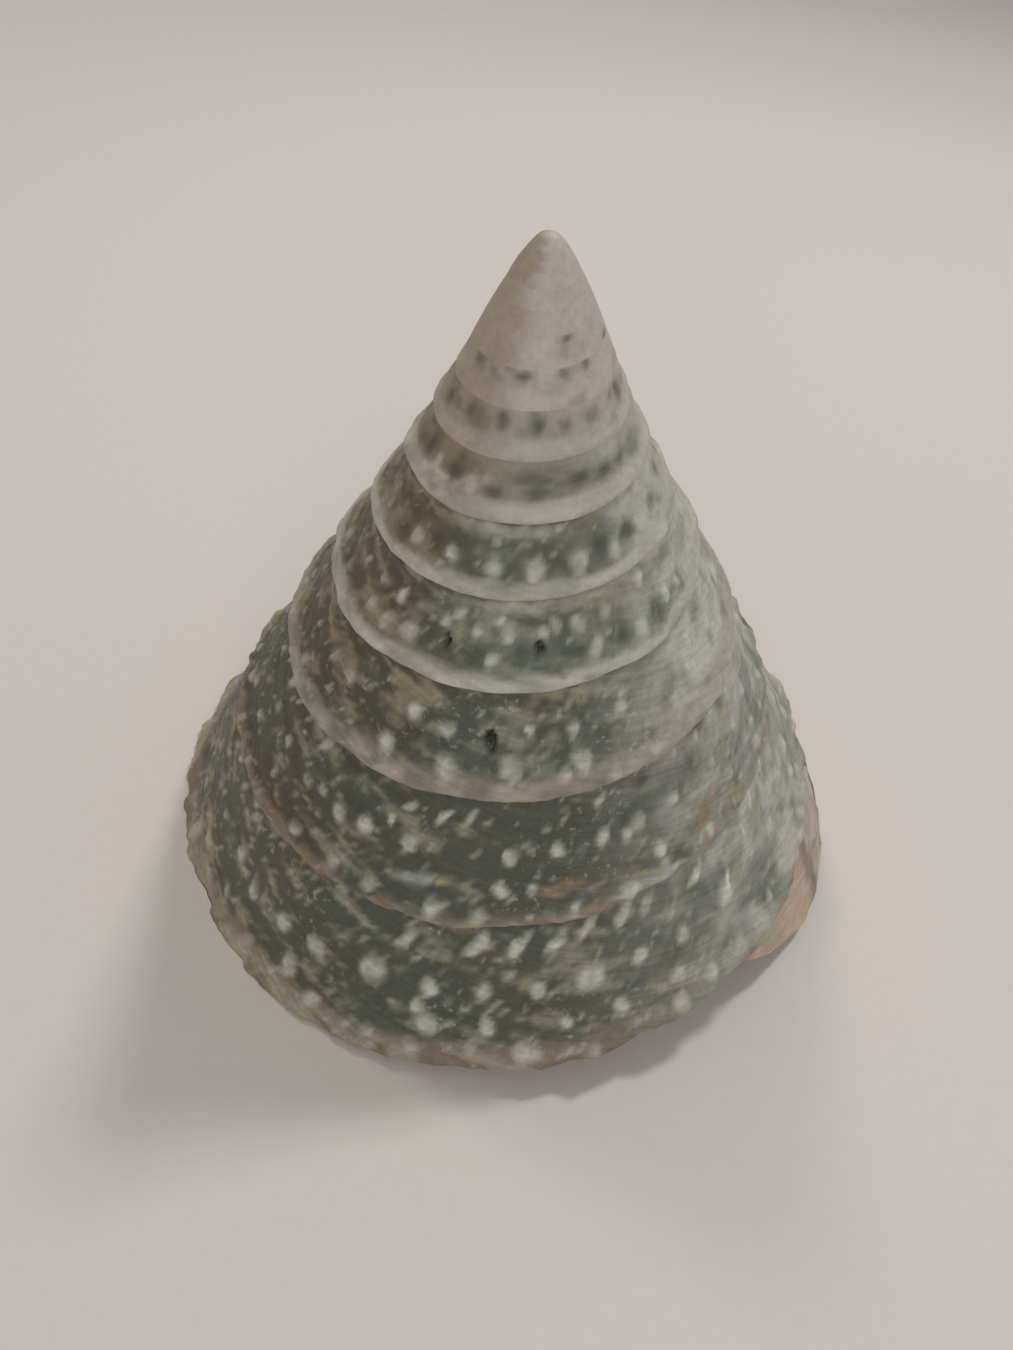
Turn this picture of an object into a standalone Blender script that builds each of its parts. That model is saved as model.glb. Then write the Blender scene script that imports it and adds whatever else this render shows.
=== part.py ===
"""A top shell: one tall conical seashell that winds clockwise seen from its tip, its mouth open below.

Lengths are metres, +Z is up and the origin is on the ground under the middle of the shell. Every surface
follows one spiral. A place on it is a turn, counted along the winding, and a share: 0 at
the seam above a whorl, 1 at its lower edge. On the base the share runs from the edge, 0, to the pillar in
the middle, 1.
"""

import math
import random

import bmesh
import bpy
import numpy as np
from mathutils import Matrix, Vector

# The spiral: the edge of each whorl is one line wound on a cone
EDGE_RADIUS = 0.024
EDGE_TURN = 5.0
GROWTH_PER_TURN = 1.2974
SPIRE_HEIGHT = 0.04395
SPIRE_FULLNESS = 0.00143
START_AZIMUTH_DEG = -8.18
FIRST_TURN = -9.0
TIP_ROUNDING = 0.00117

# The first turns stand fuller than the cone, and the last one draws in and comes down a little
TIP_SWELL = 0.00193
TIP_SWELL_REACH = 0.00443
TIP_WIDENING = 0.324
LAST_TURN_SETTLES = (5.275, 5.875)
LAST_NARROWING = 0.03
LAST_DROP = 0.0005

# The mouth: its lip slants back from the seam to the edge, and runs on under the base to the pillar
LIP_TURN_AT_EDGE = 5.90
LIP_SLANT = 0.34
LIP_BOW = 0.14
LIP_TURN_AT_PILLAR = 5.77
ROOF_TURN_AT_PILLAR = 5.88
LIP_APPROACH_TURNS = 0.4
WALL = 0.0013
ROOF_WALL = 0.0009
MOUTH_DEPTH_TURNS = 1.25
MOUTH_STEPS = 25
ROOF_RAMP_TURNS = 0.1
LIP_TAPER_SHARE = 0.15

# Relief, as shares of the edge's radius at that turn
WHORL_PROFILE = (
    (0.045, -0.026),
    (0.20, -0.016),
    (0.33, -0.017),
    (0.455, -0.016),
    (0.59, -0.017),
    (0.72, -0.016),
    (0.84, -0.016),
    (0.93, -0.002),
)
WORN_PROFILE = ((0.08, -0.022), (0.45, -0.016), (0.88, -0.002))
CORD_HEIGHT = 0.038
CORD_SHAPE = ((0.80, 0.0), (0.86, 0.7), (0.93, 1.0), (1.0, 0.0))
CORD_GROWS = (-3.0, -1.0)
CORD_FADES = (3.3, 4.1)
SMOOTH_UNTIL_TURN = -3.5
WORN_UNTIL_TURN = 0.4
RELIEF_FADES_IN = (-3.0, 0.5)
RELIEF_FADES_OUT = (5.65, 5.83)
MAIN_LUMP_ROW = 0.455
LUMP_ROWS = {0.20: 0.010, MAIN_LUMP_ROW: 0.024, 0.72: 0.020}
LUMP_SIZES = (0.6, 1.3)
LUMPS_PER_TURN = 16.0
LUMPS_GROWTH = 1.189
FEWEST_LUMPS = 9.0
EDGE_WAVE = 0.008
PITS = ((3.245, 0.504), (2.293, 0.539), (2.209, 0.536))
PIT_DEPTH = 0.0006
PIT_REACH = 0.07

# The base: a shallow hollow with low spiral cords
BASE_SHARES = (0.07, 0.2, 0.33, 0.46, 0.6, 0.73, 0.86, 1.0)
BASE_RISE = 0.12
BASE_CORD = 0.005
PILLAR_RADIUS = 0.17
PILLAR_TIP_DROP = 0.7

# How it stands: on the corner of its lip and on the far stretch of its edge, both worn flat
LEAN_DEG = 8.62
LEAN_TOWARDS_DEG = -117.2
WORN_FLAT = 0.0004
GROUND_SIZE = 0.2

SHELL_COLOUR = (0.23, 0.25, 0.21, 1.0)
SHELL_ROUGHNESS = 0.55
SHARP_ANGLE_DEG = 35.0
SEED = 12


def clear_scene():
    for item in list(bpy.data.objects):
        bpy.data.objects.remove(item, do_unlink=True)


def smooth_step(value, low, high):
    share = min(max((value - low) / (high - low), 0.0), 1.0)
    return share * share * (3 - 2 * share)


def tip_rise(radius):
    """How far the swollen and rounded tip stands above the plain cone at this radius."""
    blunt = SPIRE_HEIGHT / EDGE_RADIUS * (math.hypot(radius, TIP_ROUNDING) - radius)
    return TIP_SWELL * math.exp(-((radius / TIP_SWELL_REACH) ** 2)) - blunt


def cone_height(radius):
    share = radius / EDGE_RADIUS
    return (SPIRE_HEIGHT - SPIRE_FULLNESS * share) * (1 - share) + tip_rise(radius)


def edge_section(turn):
    """The whorl's edge at this turn, as radius and height."""
    plain = EDGE_RADIUS * GROWTH_PER_TURN ** (turn - EDGE_TURN)
    radius = plain + TIP_WIDENING * tip_rise(plain)
    settled = smooth_step(turn, *LAST_TURN_SETTLES)
    return np.array((radius * (1 - LAST_NARROWING * settled), cone_height(radius) - LAST_DROP * settled))


def edge_radius(turn):
    return edge_section(turn)[0]


def side_section(turn, share):
    """A point on the plain side of a whorl, as radius and height."""
    return (1 - share) * edge_section(turn - 1) + share * edge_section(turn)


def base_section(turn, share):
    """A point on the plain base, which rises towards the pillar, as radius and height."""
    radius, height = edge_section(turn)
    rise = BASE_RISE * math.sin(share * math.pi / 2)
    return np.array((radius * (1 - share * (1 - PILLAR_RADIUS)), height + rise * radius))


def outward(turn):
    """Direction square to the side of the whorl, pointing out, as radius and height."""
    along = edge_section(turn) - edge_section(turn - 1)
    return np.array((-along[1], along[0])) / np.linalg.norm(along)


def to_space(section, turn):
    """Turns a radius and a height to the azimuth of this turn."""
    azimuth = math.radians(START_AZIMUTH_DEG) - 2 * math.pi * turn
    return Vector((section[0] * math.cos(azimuth), section[0] * math.sin(azimuth), section[1]))


def lumps_per_turn(turn):
    return max(LUMPS_PER_TURN * LUMPS_GROWTH**turn, FEWEST_LUMPS)


def columns():
    """Turns at which the columns of vertices meet the edge, two for each lump, from the tip to the lip."""
    found = [FIRST_TURN]
    while found[-1] < LIP_TURN_AT_EDGE:
        found.append(found[-1] + 0.5 / lumps_per_turn(found[-1]))
    stretch = (LIP_TURN_AT_EDGE - FIRST_TURN) / (found[-1] - FIRST_TURN)
    return [FIRST_TURN + (turn - FIRST_TURN) * stretch for turn in found]


def lip_lead(share):
    """How far ahead of its lower end the slanting lip is at this share, in turns."""
    return LIP_SLANT * (1 - share) - LIP_BOW * (1 - share) ** 2


def slant(column, share):
    """How far ahead of its edge a column is, in turns. Near the lip it takes up the lip's slant."""
    near_lip = smooth_step(column, LIP_TURN_AT_EDGE - LIP_APPROACH_TURNS, LIP_TURN_AT_EDGE)
    return lip_lead(share) * near_lip


def cord_lift(turn, share):
    """How far the cord on the lower edge of the upper whorls stands out, as a share of the radius."""
    grown = smooth_step(turn, *CORD_GROWS) * (1 - smooth_step(turn, *CORD_FADES))
    return CORD_HEIGHT * grown * float(np.interp(share, *zip(*CORD_SHAPE)))


def pit_depth(turn, share, step):
    """Depth of a pit whose middle is within half a column of this place."""
    near = [pit for pit in PITS if abs(turn - pit[0]) < step / 2 and abs(share - pit[1]) < PIT_REACH]
    return PIT_DEPTH if near else 0.0


def side_point(column, number, share, relief, step, chance):
    """A vertex of a whorl's side, with its lump or pit."""
    turn = column + slant(column, share)
    strength = smooth_step(column, *RELIEF_FADES_IN) * (1 - smooth_step(column, *RELIEF_FADES_OUT))
    faded = strength * edge_radius(turn)
    lift = relief * faded + cord_lift(turn, share) * edge_radius(turn)
    on_lump = number % 2 == (share == MAIN_LUMP_ROW)
    if share in LUMP_ROWS and on_lump:
        lift += LUMP_ROWS[share] * chance.uniform(*LUMP_SIZES) * faded
    lift -= pit_depth(turn, share, step)
    return to_space(side_section(turn, share) + lift * outward(turn), turn)


def edge_point(column, number):
    """A vertex of the whorl's lower edge, which is faintly scalloped."""
    wave = EDGE_WAVE * (-0.5 if number % 2 else 0.5) * smooth_step(column, -1, 2)
    return to_space(edge_section(column) + wave * edge_radius(column) * outward(column), column)


def join(bm, *corners):
    """Adds a face unless two of its corners are the same vertex."""
    if len(set(corners)) == len(corners):
        bm.faces.new(corners)


def zip_rows(bm, first, second):
    """Fills the strip between two rows of (position, vertex) with triangles, in order of position."""
    i = j = 0
    while i < len(first) - 1 or j < len(second) - 1:
        take_first = j == len(second) - 1 or (i < len(first) - 1 and first[i + 1][0] < second[j + 1][0])
        if take_first:
            join(bm, first[i][1], first[i + 1][1], second[j][1])
            i += 1
        else:
            join(bm, first[i][1], second[j + 1][1], second[j][1])
            j += 1


def add_spire(bm, chance):
    """The side of every whorl as one strip wound from the tip to the lip.

    Returns the edge, the place in it where the last whorl's seam ends, and the last column.
    """
    turns = columns()
    edge = [(turn, bm.verts.new(edge_point(turn, n))) for n, turn in enumerate(turns)]
    tip = bm.verts.new((0, 0, cone_height(0.0)))
    start = next(n for n, turn in enumerate(turns) if turn >= FIRST_TURN + 1)
    sides = []
    for n in range(start, len(turns)):
        profile = WORN_PROFILE if turns[n] < WORN_UNTIL_TURN else WHORL_PROFILE
        if turns[n] < SMOOTH_UNTIL_TURN:
            profile = ()
        step = turns[n] - turns[n - 1]
        side = [
            (share, bm.verts.new(side_point(turns[n], n, share, relief, step, chance)))
            for share, relief in profile
        ]
        sides.append(side + [(1.0, edge[n][1])])
    for n in range(start - 1):
        join(bm, tip, edge[n][1], edge[n + 1][1])
    before = edge[start - 1][1]
    for upper, lower in zip(sides[0], sides[0][1:]):
        join(bm, before, upper[1], lower[1])
    join(bm, before, edge[0][1], sides[0][0][1])
    join(bm, before, tip, edge[0][1])
    for left, right in zip(sides, sides[1:]):
        zip_rows(bm, left, right)
    seam_end = LIP_TURN_AT_EDGE + lip_lead(0.0)
    seam = [(turn + 1, vertex) for turn, vertex in edge if turn + 1 <= seam_end]
    top_share = WHORL_PROFILE[0][0]
    top = [(turn + slant(turn, top_share), side[0][1]) for turn, side in zip(turns[start:], sides)]
    zip_rows(bm, seam, top)
    return edge, len(seam) - 1, sides[-1]


def lip_turn(share):
    """Turn of the lip under the base at this share of the way to the pillar."""
    return LIP_TURN_AT_EDGE + (LIP_TURN_AT_PILLAR - LIP_TURN_AT_EDGE) * share


def roof_turn(share, seam_turn):
    """Turn, on the whorl before, of the mouth's roof where the base comes out from under the lip."""
    return seam_turn + (ROOF_TURN_AT_PILLAR - 1 - seam_turn) * share


def add_base(bm, edge, seam_index):
    """The base of the last whorl, from the roof of the mouth round to the lip. Returns its columns."""
    seam_turn = edge[seam_index][0]
    rows = []
    for turn, vertex in edge[seam_index:]:
        along = (turn - seam_turn) / (LIP_TURN_AT_EDGE - seam_turn)
        row = [vertex]
        for n, share in enumerate(BASE_SHARES):
            here = (1 - along) * roof_turn(share, seam_turn) + along * lip_turn(share)
            section = base_section(here, share)
            section[1] += BASE_CORD * edge_radius(here) * (-1 if n % 2 else 1) * (share < 1)
            row.append(bm.verts.new(to_space(section, here)))
        rows.append(row)
    for left, right in zip(rows, rows[1:]):
        for n in range(len(BASE_SHARES)):
            join(bm, left[n], left[n + 1], right[n + 1], right[n])
    return rows


def mouth_outline(seam_turn):
    """The mouth's outline at the lip, once round from the seam, as (turn, share, part)."""
    places = [(seam_turn + 1, 0.0, "side")]
    places += [(LIP_TURN_AT_EDGE + lip_lead(share), share, "side") for share, _ in WHORL_PROFILE]
    places += [(LIP_TURN_AT_EDGE, 0.0, "floor")]
    places += [(lip_turn(share), share, "floor") for share in BASE_SHARES]
    places += [((LIP_TURN_AT_PILLAR + ROOF_TURN_AT_PILLAR) / 2, 1.0, "pillar")]
    places += [(roof_turn(share, seam_turn) + 1, share, "roof") for share in reversed(BASE_SHARES)]
    return places


def pillar_front(turn):
    """The place on the pillar midway between the mouth's floor and its roof."""
    return to_space((base_section(turn, 1.0) + base_section(turn - 1, 1.0)) / 2, turn)


def edge_corner(turn):
    """Where the hollow's own edge lies: its share of the whorl's side, and its share of the base."""
    side = edge_section(turn) - edge_section(turn - 1)
    steepness = math.atan2(-side[1], side[0])
    base_slope = math.atan(BASE_RISE * math.pi / 2 / (1 - PILLAR_RADIUS))
    angle = steepness - base_slope
    back = WALL * (1 + math.cos(angle)) / math.sin(angle)
    side_share = 1 - back / np.linalg.norm(side)
    corner = side_section(turn, side_share) - WALL * outward(turn)
    radius = edge_radius(turn)
    return side_share, (radius - corner[0]) / (radius * (1 - PILLAR_RADIUS))


def hollow_section(turn, share, part, ramp):
    """A point of the hollow's outline, a wall's thickness inside the outer one.

    The ramp grows from 0 at the lip to 1.
    """
    if part == "side":
        wall = WALL * max(ramp, min(share / LIP_TAPER_SHARE, 1.0))
        return side_section(turn, share * edge_corner(turn)[0]) - wall * outward(turn)
    if part == "floor":
        first = edge_corner(turn)[1]
        last = 1 - WALL / edge_radius(turn)
        return base_section(turn, first + (last - first) * share) + np.array((0, WALL))
    if part == "roof":
        seam = hollow_section(turn, 0.0, "side", ramp)
        radius = edge_radius(turn - 1)
        first = (radius - seam[0]) / (radius * (1 - PILLAR_RADIUS))
        last = 1 - ramp * WALL / radius
        return base_section(turn - 1, first + (last - first) * share) - np.array((0, ROOF_WALL * ramp))
    low = hollow_section(turn, share, "floor", ramp)
    high = hollow_section(turn, share, "roof", ramp)
    return (low + high) / 2


def add_mouth(bm, edge, seam_index, last_side, base_rows):
    """The hollow of the last whorl: a rim along the lip, then a tube that winds back inside and closes.

    Returns the vertex on the front of the pillar.
    """
    places = mouth_outline(edge[seam_index][0])
    outer = [edge[seam_index][1]] + [vertex for _, vertex in last_side] + base_rows[-1][1:]
    front = bm.verts.new(pillar_front(places[len(outer)][0]))
    outer.append(front)
    outer += list(reversed(base_rows[0][1:]))
    roof_start = len(outer) - len(BASE_SHARES)
    rings = []
    for step in range(MOUTH_STEPS + 1):
        depth = MOUTH_DEPTH_TURNS * step / MOUTH_STEPS
        ramp = min(depth / ROOF_RAMP_TURNS, 1.0)
        ring = []
        for n, (turn, share, part) in enumerate(places):
            if step == 0 and (n == 0 or n >= roof_start):
                ring.append(outer[n])
            else:
                section = hollow_section(turn - depth, share, part, ramp)
                ring.append(bm.verts.new(to_space(section, turn - depth)))
        rings.append(ring)
    for first, second in zip([outer] + rings, rings):
        for n in range(len(outer)):
            after = (n + 1) % len(outer)
            corners = dict.fromkeys((first[n], first[after], second[after], second[n]))
            if len(corners) > 2:
                bm.faces.new(tuple(corners))
    end = bm.verts.new(sum((vertex.co for vertex in rings[-1]), Vector()) / len(outer))
    for n, vertex in enumerate(rings[-1]):
        join(bm, vertex, rings[-1][(n + 1) % len(outer)], end)
    return front


def add_pillar(bm, base_rows, front):
    """The end of the pillar, which the last whorl winds round."""
    inner = [row[-1] for row in base_rows]
    low, high = inner[-1].co.z, inner[0].co.z
    tip = bm.verts.new((0, 0, high + (low - high) * PILLAR_TIP_DROP))
    ring = inner + [front]
    for n, vertex in enumerate(ring):
        join(bm, tip, vertex, ring[(n + 1) % len(ring)])


def shell_material():
    material = bpy.data.materials.new("shell")
    material.use_nodes = True
    shader = material.node_tree.nodes["Principled BSDF"]
    shader.inputs["Base Color"].default_value = SHELL_COLOUR
    shader.inputs["Roughness"].default_value = SHELL_ROUGHNESS
    shader.inputs["Metallic"].default_value = 0.0
    return material


def stand(shell):
    """Leans the shell to where it stands by itself, over the origin, a little of it below the ground."""
    axis = Vector((0, 0, 1)).cross(
        Vector((math.cos(math.radians(LEAN_TOWARDS_DEG)), math.sin(math.radians(LEAN_TOWARDS_DEG)), 0))
    )
    lean = Matrix.Rotation(math.radians(LEAN_DEG), 4, axis)
    placed = np.array([lean @ vertex.co for vertex in shell.data.vertices])
    low, high = placed.min(axis=0), placed.max(axis=0)
    middle = (low + high) / 2
    shell.matrix_world = Matrix.Translation((-middle[0], -middle[1], -low[2] - WORN_FLAT)) @ lean


def wear_flat(shell):
    """Takes off what lies below the ground, which leaves the flat worn places that the shell stands on."""
    mesh = bpy.data.meshes.new("ground_cutter")
    bm = bmesh.new()
    bmesh.ops.create_cube(bm, size=GROUND_SIZE)
    bm.to_mesh(mesh)
    bm.free()
    cutter = bpy.data.objects.new("ground_cutter", mesh)
    bpy.context.scene.collection.objects.link(cutter)
    cutter.location.z = -GROUND_SIZE / 2
    cutter.hide_render = True
    cutter.display_type = "WIRE"
    cut = shell.modifiers.new("wear_flat", "BOOLEAN")
    cut.operation = "DIFFERENCE"
    cut.solver = "EXACT"
    cut.object = cutter


def make_shell():
    chance = random.Random(SEED)
    bm = bmesh.new()
    edge, seam_index, last_side = add_spire(bm, chance)
    base_rows = add_base(bm, edge, seam_index)
    front = add_mouth(bm, edge, seam_index, last_side, base_rows)
    add_pillar(bm, base_rows, front)
    bmesh.ops.triangulate(bm, faces=bm.faces)
    bmesh.ops.recalc_face_normals(bm, faces=bm.faces)
    mesh = bpy.data.meshes.new("shell")
    bm.to_mesh(mesh)
    bm.free()
    mesh.materials.append(shell_material())
    mesh.shade_smooth()
    mesh.set_sharp_from_angle(angle=math.radians(SHARP_ANGLE_DEG))
    shell = bpy.data.objects.new("shell", mesh)
    bpy.context.scene.collection.objects.link(shell)
    return shell


clear_scene()
shell = make_shell()
stand(shell)
wear_flat(shell)
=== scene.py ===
import math
import random

import bmesh
import bpy
import numpy as np
from mathutils import Matrix, Vector


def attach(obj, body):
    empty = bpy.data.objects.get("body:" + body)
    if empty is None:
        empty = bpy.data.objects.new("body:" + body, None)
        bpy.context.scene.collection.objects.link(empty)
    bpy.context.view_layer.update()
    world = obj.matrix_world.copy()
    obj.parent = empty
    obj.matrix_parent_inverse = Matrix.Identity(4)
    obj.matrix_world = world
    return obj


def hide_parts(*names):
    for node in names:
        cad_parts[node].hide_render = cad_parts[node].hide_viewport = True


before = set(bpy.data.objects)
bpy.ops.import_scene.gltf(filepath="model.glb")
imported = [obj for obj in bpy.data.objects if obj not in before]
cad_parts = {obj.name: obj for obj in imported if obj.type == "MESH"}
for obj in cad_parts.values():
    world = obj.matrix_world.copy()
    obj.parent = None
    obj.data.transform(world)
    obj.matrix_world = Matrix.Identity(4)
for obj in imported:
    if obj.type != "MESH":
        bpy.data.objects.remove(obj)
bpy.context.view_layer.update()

# The spiral, with the same values as the solid, but two turns more at the tip. A place on it is a turn, counted
# along the winding, and a share: on a whorl's side 0 at its upper seam and 1 at its lower edge, on the base 0 at
# the edge and 1 at the pillar. The front of the photo is at 0.23 past a whole turn, its left at 0.48 and its
# right at 0.98.
EDGE_RADIUS = 0.024
EDGE_TURN = 5.0
GROWTH_PER_TURN = 1.2974
SPIRE_HEIGHT = 0.04395
SPIRE_FULLNESS = 0.00143
START_AZIMUTH_DEG = -8.18
FIRST_TURN = -11.0
TIP_ROUNDING = 0.00117
TIP_SWELL = 0.00193
TIP_SWELL_REACH = 0.00443
TIP_WIDENING = 0.324
LAST_TURN_SETTLES = (5.275, 5.875)
LAST_NARROWING = 0.03
LAST_DROP = 0.0005
LIP_TURN_AT_EDGE = 5.90
LIP_SLANT = 0.34
LIP_BOW = 0.14
LIP_TURN_AT_PILLAR = 5.77
ROOF_TURN_AT_PILLAR = 5.88
LIP_APPROACH_TURNS = 0.4
WALL = 0.0013
ROOF_WALL = 0.0009
MOUTH_DEPTH_TURNS = 1.25
ROOF_RAMP_TURNS = 0.1
LIP_TAPER_SHARE = 0.15
BASE_RISE = 0.12
BASE_CORDS = 7.0
PILLAR_RADIUS = 0.17
PILLAR_TIP_DROP = 0.7
LEAN_DEG = 8.62
LEAN_TOWARDS_DEG = -117.2
GROUND_CLEARANCE = 0.00002

# How fine the surface is
SIDE_CELL = (0.00021, 0.00005)
ROW_CROWDING = 0.5
BASE_CELLS = 34
MOUTH_STEPS = 56

# Growth lines lean this many turns from seam to edge
GROWTH_SLANT = 0.235

# How far the outline of each bead, spot and patch wavers, in metres
OVAL_RAGGEDNESS = 0.0003

# Relief of the side, as shares of the edge's radius. The upper whorls have a cord along the edge, the lower
# ones a thin ledge. Each row is a share down the side, the relief of the young whorls and that of the old.
PROFILE = (
    (0.0, -0.003, -0.004), (0.02, -0.008, -0.016), (0.05, -0.016, -0.024), (0.12, -0.022, -0.021),
    (0.25, -0.022, -0.016), (0.45, -0.018, -0.013), (0.6, -0.012, -0.014), (0.72, -0.003, -0.015),
    (0.80, 0.008, -0.013), (0.86, 0.021, -0.009), (0.91, 0.028, -0.001), (0.955, 0.029, 0.007),
    (0.985, 0.021, 0.009), (1.0, 0.004, 0.001),
)
# The turns over which the young relief gives way to the old one, and over which relief starts below the tip
PROFILE_TURNS = (3.3, 4.1)
PROFILE_GROWS = (-2.6, 1.2)
ROUGHNESS_GROWS = (-2.5, 1.2)

# Rows of beads: share, how many for each of the main row's, half length, width for each length, slope, first
# and last turn
BEAD_ROWS = (
    (0.46, 1.0, 0.036, 1.0, 0.0, 2.6, 6.2),
    (0.14, 1.35, 0.025, 1.35, 0.7, 3.8, 6.2),
    (0.73, 0.8, 0.034, 1.1, -0.2, 2.9, 6.2),
    (0.88, 1.0, 0.046, 0.8, 0.0, 3.0, 4.0),
    (0.90, 1.0, 0.034, 1.0, 0.0, 4.0, 6.2),
    (0.34, 1.15, 0.040, 1.0, 0.0, 1.9, 3.2),
    (0.66, 0.85, 0.050, 1.1, 0.0, 1.9, 2.9),
    (0.60, 0.75, 0.058, 1.1, 0.0, 0.9, 2.0),
    (0.27, 0.8, 0.034, 1.0, 0.0, 0.9, 2.0),
)
BEADS_PER_TURN = 16.0
BEADS_GROWTH = 1.189
BEAD_HEIGHT = 0.27
MILLIMETRE = 0.001

# Beads that show in the photo: turn, share and width in millimetres
SEEN_BEADS = (
    (5.046, 0.495, 1.1), (5.096, 0.463, 1.6), (5.11, 0.136, 1.0), (5.128, 0.467, 1.15), (5.135, 0.736, 1.1),
    (5.145, 0.124, 1.0), (5.154, 0.443, 1.1), (5.16, 0.108, 1.2), (5.166, 0.744, 1.1), (5.18, 0.454, 1.9),
    (5.18, 0.106, 1.1), (5.194, 0.724, 0.9), (5.197, 0.153, 1.1), (5.207, 0.47, 1.1), (5.214, 0.888, 1.3),
    (5.217, 0.148, 1.2), (5.23, 0.715, 1.1), (5.233, 0.454, 1.3), (5.239, 0.158, 1.3), (5.258, 0.726, 1.4),
    (5.26, 0.472, 1.2), (5.264, 0.615, 1.0), (5.276, 0.189, 1.0), (5.288, 0.465, 1.9), (5.32, 0.498, 1.5),
    (5.331, 0.76, 1.4), (5.342, 0.533, 1.4), (5.367, 0.55, 1.0),
    (4.116, 0.439, 0.9), (4.131, 0.754, 0.9), (4.144, 0.425, 1.1), (4.152, 0.481, 0.8), (4.167, 0.13, 0.6),
    (4.168, 0.43, 0.95), (4.196, 0.448, 0.95), (4.211, 0.722, 0.7), (4.224, 0.457, 1.0), (4.229, 0.72, 0.95),
    (4.252, 0.181, 0.7), (4.267, 0.185, 0.7), (4.285, 0.447, 1.05), (4.29, 0.177, 0.6), (4.3, 0.332, 0.7),
    (4.314, 0.464, 1.1), (4.334, 0.497, 1.2), (4.35, 0.431, 0.8),
    (3.096, 0.632, 0.6), (3.138, 0.258, 0.6), (3.143, 0.377, 0.9), (3.179, 0.7, 1.1), (3.183, 0.408, 0.8),
    (3.216, 0.357, 0.7), (3.228, 0.702, 1.2), (3.271, 0.743, 1.3), (3.277, 0.414, 1.0), (3.306, 0.344, 1.1),
    (3.317, 0.706, 1.1), (3.369, 0.433, 0.7),
    (2.352, 0.34, 1.0), (2.378, 0.63, 0.8), (2.354, 0.67, 0.8), (2.332, 0.62, 1.1), (2.3, 0.35, 0.7),
    (2.288, 0.23, 0.7), (2.268, 0.36, 0.7), (2.238, 0.36, 0.9), (2.248, 0.25, 0.6), (2.25, 0.66, 0.9),
    (2.208, 0.36, 0.7), (2.196, 0.29, 0.7), (2.174, 0.34, 0.9), (2.158, 0.67, 0.9), (2.144, 0.3, 0.7),
    (2.098, 0.2, 0.9), (2.112, 0.68, 0.8), (2.068, 0.6, 0.7), (2.382, 0.31, 0.6), (2.414, 0.31, 0.5),
    (1.36, 0.57, 0.8), (1.312, 0.58, 0.8), (1.262, 0.62, 0.9), (1.216, 0.6, 1.0), (1.168, 0.6, 1.1),
    (1.122, 0.62, 0.9), (1.078, 0.53, 0.8), (1.188, 0.12, 0.5), (1.266, 0.27, 0.5),
)
# A bead's half length for each millimetre of that width, with the soft rim that doesn't show
SEEN_BEAD_REACH = 0.00082
# The turns that they fill, and the share below which other beads are strewn there too
SEEN_STRETCHES = ((1.06, 1.38), (2.05, 2.40), (3.085, 3.38), (4.105, 4.36), (5.035, 5.375))
STREWN_BELOW_SHARE = 0.85

# Dark spots of the upper whorls that show in the photo: turn, share, length and width in millimetres,
# strength
SEEN_SPOTS = (
    (1.384, 0.63, 0.6, 0.75, 0.8), (1.334, 0.5, 0.6, 0.8, 1.0), (1.284, 0.57, 0.55, 0.6, 0.7),
    (1.242, 0.59, 0.6, 0.65, 1.0), (1.188, 0.54, 0.7, 0.6, 1.0), (1.14, 0.5, 0.65, 0.8, 1.0),
    (1.096, 0.5, 0.5, 0.6, 0.8), (1.378, 0.37, 0.5, 0.6, 0.6), (1.31, 0.32, 1.2, 0.5, 0.5),
    (1.20, 0.33, 1.3, 0.4, 0.5),
    (2.314, 0.5, 0.6, 0.9, 0.9), (2.264, 0.61, 0.7, 0.5, 0.9), (2.224, 0.56, 0.5, 0.8, 0.8),
    (2.178, 0.62, 0.6, 0.5, 0.7), (2.134, 0.6, 0.6, 0.8, 0.7), (2.09, 0.63, 0.5, 0.7, 0.7),
    (0.417, 0.338, 0.45, 0.7, 0.8), (0.346, 0.40, 0.6, 0.6, 0.7), (0.342, 0.164, 0.35, 0.4, 0.5),
    (0.279, 0.487, 0.45, 0.4, 0.9), (0.218, 0.495, 0.55, 0.4, 0.9), (0.232, 0.25, 0.9, 0.4, 0.55),
    (0.157, 0.379, 0.55, 0.45, 0.7), (0.112, 0.423, 0.5, 0.5, 0.75), (0.08, 0.38, 0.5, 0.4, 0.6),
    (-0.574, 0.363, 0.38, 0.45, 0.8), (-0.642, 0.289, 0.35, 0.45, 0.5), (-0.710, 0.261, 0.35, 0.5, 0.6),
    (-0.777, 0.26, 0.4, 0.45, 0.75), (-0.825, 0.343, 0.3, 0.35, 0.4), (-0.881, 0.344, 0.3, 0.4, 0.35),
    (-0.965, 0.296, 0.3, 0.5, 0.6),
    (-1.609, 0.156, 0.3, 0.3, 0.5), (-1.66, 0.2, 0.25, 0.25, 0.3), (-1.734, 0.18, 0.35, 0.25, 0.7),
    (-1.83, 0.155, 0.3, 0.22, 0.45), (-1.891, 0.106, 0.25, 0.3, 0.5), (-1.70, 0.05, 0.3, 0.2, 0.3),
)
# A spot's half length and half width for each millimetre of those, with the soft rim that doesn't show
SPOT_REACH = (0.0019, 0.0015)
SPOT_STRENGTH = 1.3

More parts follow.
